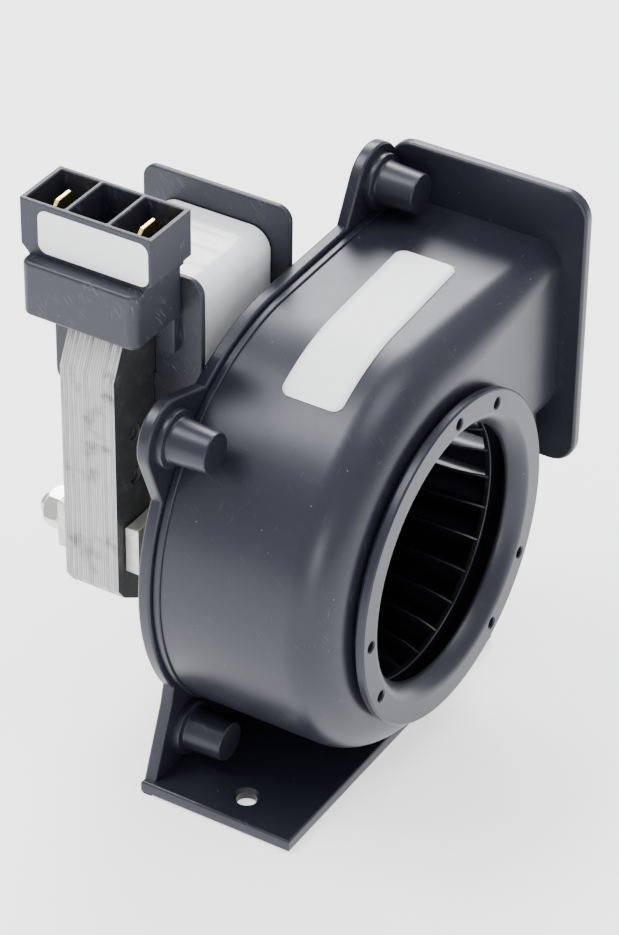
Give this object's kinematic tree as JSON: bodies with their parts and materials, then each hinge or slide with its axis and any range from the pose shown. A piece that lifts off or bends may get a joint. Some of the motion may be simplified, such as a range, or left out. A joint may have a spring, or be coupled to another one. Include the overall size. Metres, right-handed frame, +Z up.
{
  "type": "centrifugal blower with shaded-pole motor",
  "caption": "Small centrifugal blower: moulded scroll housing with round inlet and flanged outlet, drum impeller, and C-frame shaded-pole motor behind the back plate.",
  "frame": {"origin": "on the underside of the foot, below the shaft axis, in the parting plane between scroll and back plate", "axes": "+Z up, shaft along Y with the inlet facing -Y and the motor at +Y, outlet facing +X"},
  "size_m": [0.0755, 0.0664, 0.098],
  "materials": {
    "housing_plastic": "satin moulded, fine grain",
    "impeller_plastic": "satin moulded",
    "bobbin_plastic": "satin moulded, slightly scuffed",
    "laminated_steel": "bare stacked sheets",
    "zinc_casting": "bare cast metal, slightly rough",
    "bright_steel": "zinc plated",
    "brass_sheet": "stamped",
    "bronze": "sintered",
    "copper": "lacquered",
    "white_tape": "glossy film tape",
    "felt_wool": "felt",
    "black_rubber": "matt"
  },
  "bodies": {
    "housing": {"scroll_shell": "housing_plastic", "back_plate": "housing_plastic", "inlet_ring": "housing_plastic", "bobbin": "bobbin_plastic", "terminal_block": "bobbin_plastic", "frame_stack": "laminated_steel", "coil_core": "laminated_steel", "front_bracket": "zinc_casting", "rear_bracket": "zinc_casting", "front_bearing_cap": "bright_steel", "rear_bearing_cap": "bright_steel", "motor_bolt_left": "bright_steel", "motor_bolt_right": "bright_steel", "motor_nut_left": "bright_steel", "motor_nut_right": "bright_steel", "housing_screw_upper_left": "bright_steel", "housing_screw_upper_right": "bright_steel", "housing_screw_lower_left": "bright_steel", "blade_terminal_front": "brass_sheet", "blade_terminal_rear": "brass_sheet", "front_bearing": "bronze", "rear_bearing": "bronze", "coil_winding": "copper", "shading_ring_left": "copper", "shading_ring_right": "copper", "coil_tape": "white_tape", "front_felt_ring": "felt_wool", "rear_felt_ring": "felt_wool", "motor_spacer_left": "black_rubber", "motor_spacer_right": "black_rubber"},
    "rotor": {"impeller": "impeller_plastic", "hub_clip": "bright_steel", "motor_shaft": "bright_steel", "rotor_core": "laminated_steel", "rotor_end_ring_front": "zinc_casting", "rotor_end_ring_rear": "zinc_casting", "front_thrust_washer": "bright_steel", "rear_thrust_washer": "bright_steel"}
  },
  "joints": [
    {"name": "rotor_spin", "type": "hinge", "parent": "housing", "child": "rotor", "pos_m": [0, 0, 0.038], "axis": [0, 1, 0], "continuous": true}
  ]
}
